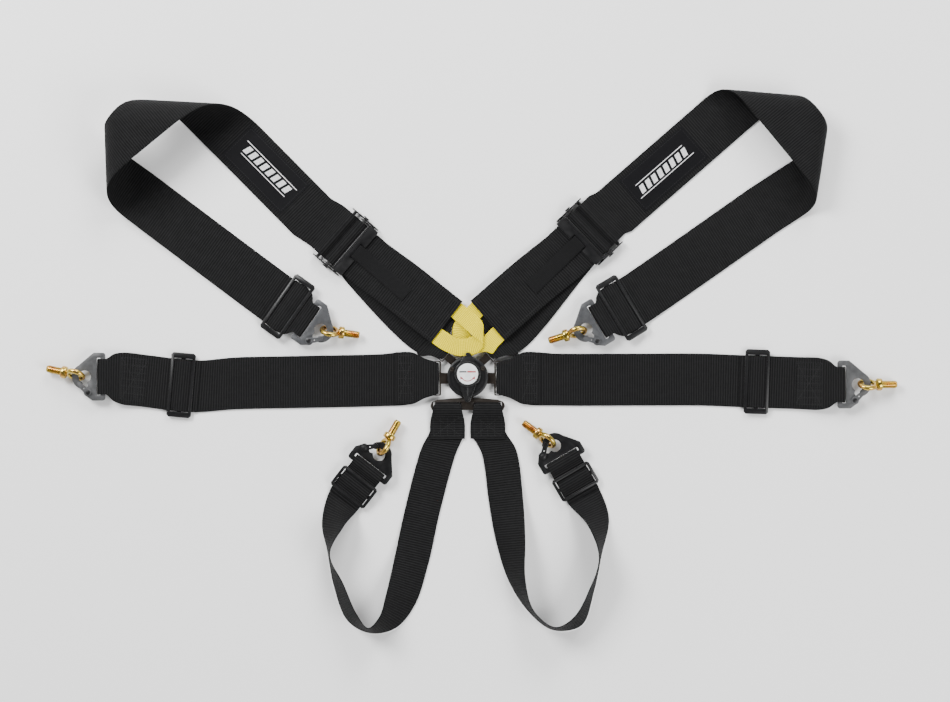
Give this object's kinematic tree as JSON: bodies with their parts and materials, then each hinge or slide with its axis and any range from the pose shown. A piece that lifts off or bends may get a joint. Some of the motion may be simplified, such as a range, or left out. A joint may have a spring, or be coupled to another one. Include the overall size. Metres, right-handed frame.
{
  "type": "racing harness",
  "caption": "Racing harness with a rotary cam-lock buckle, wide lap and shoulder webbing, slide adjusters and snap hooks on eye bolts.",
  "frame": {"origin": "centre of the buckle's back face, which lies on the ground", "axes": "+X to the wearer's left lap anchor along the lap strap, +Y to the shoulder straps, +Z out of the buckle's face"},
  "size_m": [1.2438, 0.7957, 0.079],
  "materials": {
    "webbing": "matt black ribbed polyester webbing",
    "label_patch": "satin woven patch",
    "yellow_tape": "matt yellow woven tape",
    "black_steel": "black coated pressed steel",
    "grey_steel": "grey coated pressed steel",
    "tongue_steel": "oiled dark steel",
    "bright_steel": "plated steel",
    "zinc_steel": "yellow zinc plate",
    "buckle_housing": "satin black cast housing",
    "release_lever": "satin black lever",
    "badge": "domed pale badge disc"
  },
  "bodies": {
    "buckle": {"buckle_back_plate": "tongue_steel", "buckle_housing": "buckle_housing", "housing_screw_1": "tongue_steel", "housing_screw_2": "tongue_steel", "centre_pin": "bright_steel", "release_spring": "bright_steel", "tongue_lap_left": "tongue_steel", "strap_lap_left": "webbing", "slider_lap_left": "black_steel", "hook_lap_left": "grey_steel"},
    "release": {"release_cam": "bright_steel", "release_lever": "release_lever", "badge_disc": "badge"},
    "lap_right": {"tongue_lap_right": "tongue_steel", "strap_lap_right": "webbing", "slider_lap_right": "black_steel", "hook_lap_right": "grey_steel"},
    "shoulder_left": {"tongue_shoulder_left": "tongue_steel", "lower_strap_shoulder_left": "webbing", "upper_strap_shoulder_left": "webbing", "label_patch_shoulder_left": "label_patch", "adjuster_frame_shoulder_left": "black_steel", "locking_bar_shoulder_left": "black_steel", "yellow_loop_left": "yellow_tape", "slider_shoulder_left": "black_steel", "hook_shoulder_left": "grey_steel"},
    "shoulder_right": {"tongue_shoulder_right": "tongue_steel", "lower_strap_shoulder_right": "webbing", "upper_strap_shoulder_right": "webbing", "label_patch_shoulder_right": "label_patch", "adjuster_frame_shoulder_right": "black_steel", "locking_bar_shoulder_right": "black_steel", "yellow_loop_right": "yellow_tape", "slider_shoulder_right": "black_steel", "hook_shoulder_right": "grey_steel"},
    "crotch": {"crotch_tongue_plate": "tongue_steel", "strap_crotch_left": "webbing", "strap_crotch_right": "webbing", "slider_crotch_left": "black_steel", "hook_crotch_left": "black_steel", "slider_crotch_right": "black_steel", "hook_crotch_right": "black_steel"},
    "lever_left": {"adjuster_lever_shoulder_left": "black_steel", "pull_strip_shoulder_left": "webbing"},
    "lever_right": {"adjuster_lever_shoulder_right": "black_steel", "pull_strip_shoulder_right": "webbing"},
    "gate_lap_left": {"gate_lap_left": "grey_steel"},
    "eye_lap_left": {"eye_bolt_lap_left": "zinc_steel"},
    "gate_lap_right": {"gate_lap_right": "grey_steel"},
    "eye_lap_right": {"eye_bolt_lap_right": "zinc_steel"},
    "gate_shoulder_left": {"gate_shoulder_left": "grey_steel"},
    "eye_shoulder_left": {"eye_bolt_shoulder_left": "zinc_steel"},
    "gate_shoulder_right": {"gate_shoulder_right": "grey_steel"},
    "eye_shoulder_right": {"eye_bolt_shoulder_right": "zinc_steel"},
    "gate_crotch_left": {"gate_crotch_left": "black_steel"},
    "eye_crotch_left": {"eye_bolt_crotch_left": "zinc_steel"},
    "gate_crotch_right": {"gate_crotch_right": "black_steel"},
    "eye_crotch_right": {"eye_bolt_crotch_right": "zinc_steel"}
  },
  "joints": [
    {"name": "release_turn", "type": "hinge", "parent": "buckle", "child": "release", "pos_m": [0, 0.0042, 0], "axis": [0, 0, 1], "range_deg": [-90, 90], "stiffness_Nm_per_rad": 0.02},
    {"name": "lap_right_slide", "type": "slide", "parent": "buckle", "child": "lap_right", "axis": [1, 0, 0], "range_m": [0, 0.016]},
    {"name": "shoulder_left_slide", "type": "slide", "parent": "buckle", "child": "shoulder_left", "axis": [-0.7431, 0.6691, 0], "range_m": [0, 0.016], "deforming": ["yellow_loop_left"]},
    {"name": "shoulder_right_slide", "type": "slide", "parent": "buckle", "child": "shoulder_right", "axis": [0.7431, 0.6691, 0], "range_m": [0, 0.016], "deforming": ["yellow_loop_right"]},
    {"name": "crotch_slide", "type": "slide", "parent": "buckle", "child": "crotch", "axis": [0, -1, 0], "range_m": [0, 0.016]},
    {"name": "lever_left_tilt", "type": "hinge", "parent": "shoulder_left", "child": "lever_left", "pos_m": [-0.178, 0.197, 0.0066], "axis": [-0.6561, -0.7547, 0], "range_deg": [0, 45]},
    {"name": "lever_right_tilt", "type": "hinge", "parent": "shoulder_right", "child": "lever_right", "pos_m": [0.178, 0.212, 0.0066], "axis": [-0.6947, 0.7193, 0], "range_deg": [0, 45]},
    {"name": "gate_lap_left_open", "type": "hinge", "parent": "buckle", "child": "gate_lap_left", "pos_m": [-0.554, -0.0225, 0.0146], "axis": [0, 0, -1], "range_deg": [0, 12], "stiffness_Nm_per_rad": 0.002},
    {"name": "eye_lap_left_swing", "type": "hinge", "parent": "buckle", "child": "eye_lap_left", "pos_m": [-0.5726, 0.00339, 0.0144], "axis": [0, 0, 1], "range_deg": [0, 12]},
    {"name": "gate_lap_right_open", "type": "hinge", "parent": "lap_right", "child": "gate_lap_right", "pos_m": [0.565, -0.034, 0.0146], "axis": [0, 0, 1], "range_deg": [0, 12], "stiffness_Nm_per_rad": 0.002},
    {"name": "eye_lap_right_swing", "type": "hinge", "parent": "lap_right", "child": "eye_lap_right", "pos_m": [0.5839, -0.011, 0.0144], "axis": [0, 0, 1], "range_deg": [0, 12]},
    {"name": "gate_shoulder_left_open", "type": "hinge", "parent": "shoulder_left", "child": "gate_shoulder_left", "pos_m": [-0.23197, 0.05291, 0.0146], "axis": [0, 0, 1], "range_deg": [0, 15], "stiffness_Nm_per_rad": 0.002},
    {"name": "eye_shoulder_left_swing", "type": "hinge", "parent": "shoulder_left", "child": "eye_shoulder_left", "pos_m": [-0.20091, 0.06699, 0.0144], "axis": [0, 0, 1], "range_deg": [0, 12]},
    {"name": "gate_shoulder_right_open", "type": "hinge", "parent": "shoulder_right", "child": "gate_shoulder_right", "pos_m": [0.18927, 0.05253, 0.0146], "axis": [0, 0, -1], "range_deg": [0, 15], "stiffness_Nm_per_rad": 0.002},
    {"name": "eye_shoulder_right_swing", "type": "hinge", "parent": "shoulder_right", "child": "eye_shoulder_right", "pos_m": [0.15985, 0.0656, 0.0144], "axis": [0, 0, 1], "range_deg": [0, 12]},
    {"name": "gate_crotch_left_open", "type": "hinge", "parent": "crotch", "child": "gate_crotch_left", "pos_m": [-0.15066, -0.10344, 0.0146], "axis": [0, 0, -1], "range_deg": [0, 10], "stiffness_Nm_per_rad": 0.002},
    {"name": "eye_crotch_left_swing", "type": "hinge", "parent": "crotch", "child": "eye_crotch_left", "pos_m": [-0.12251, -0.10163, 0.0144], "axis": [0, 0, 1], "range_deg": [0, 12]},
    {"name": "gate_crotch_right_open", "type": "hinge", "parent": "crotch", "child": "gate_crotch_right", "pos_m": [0.10988, -0.11618, 0.0146], "axis": [0, 0, -1], "range_deg": [0, 10], "stiffness_Nm_per_rad": 0.002},
    {"name": "eye_crotch_right_swing", "type": "hinge", "parent": "crotch", "child": "eye_crotch_right", "pos_m": [0.11608, -0.09214, 0.0144], "axis": [0, 0, 1], "range_deg": [0, 12]}
  ]
}
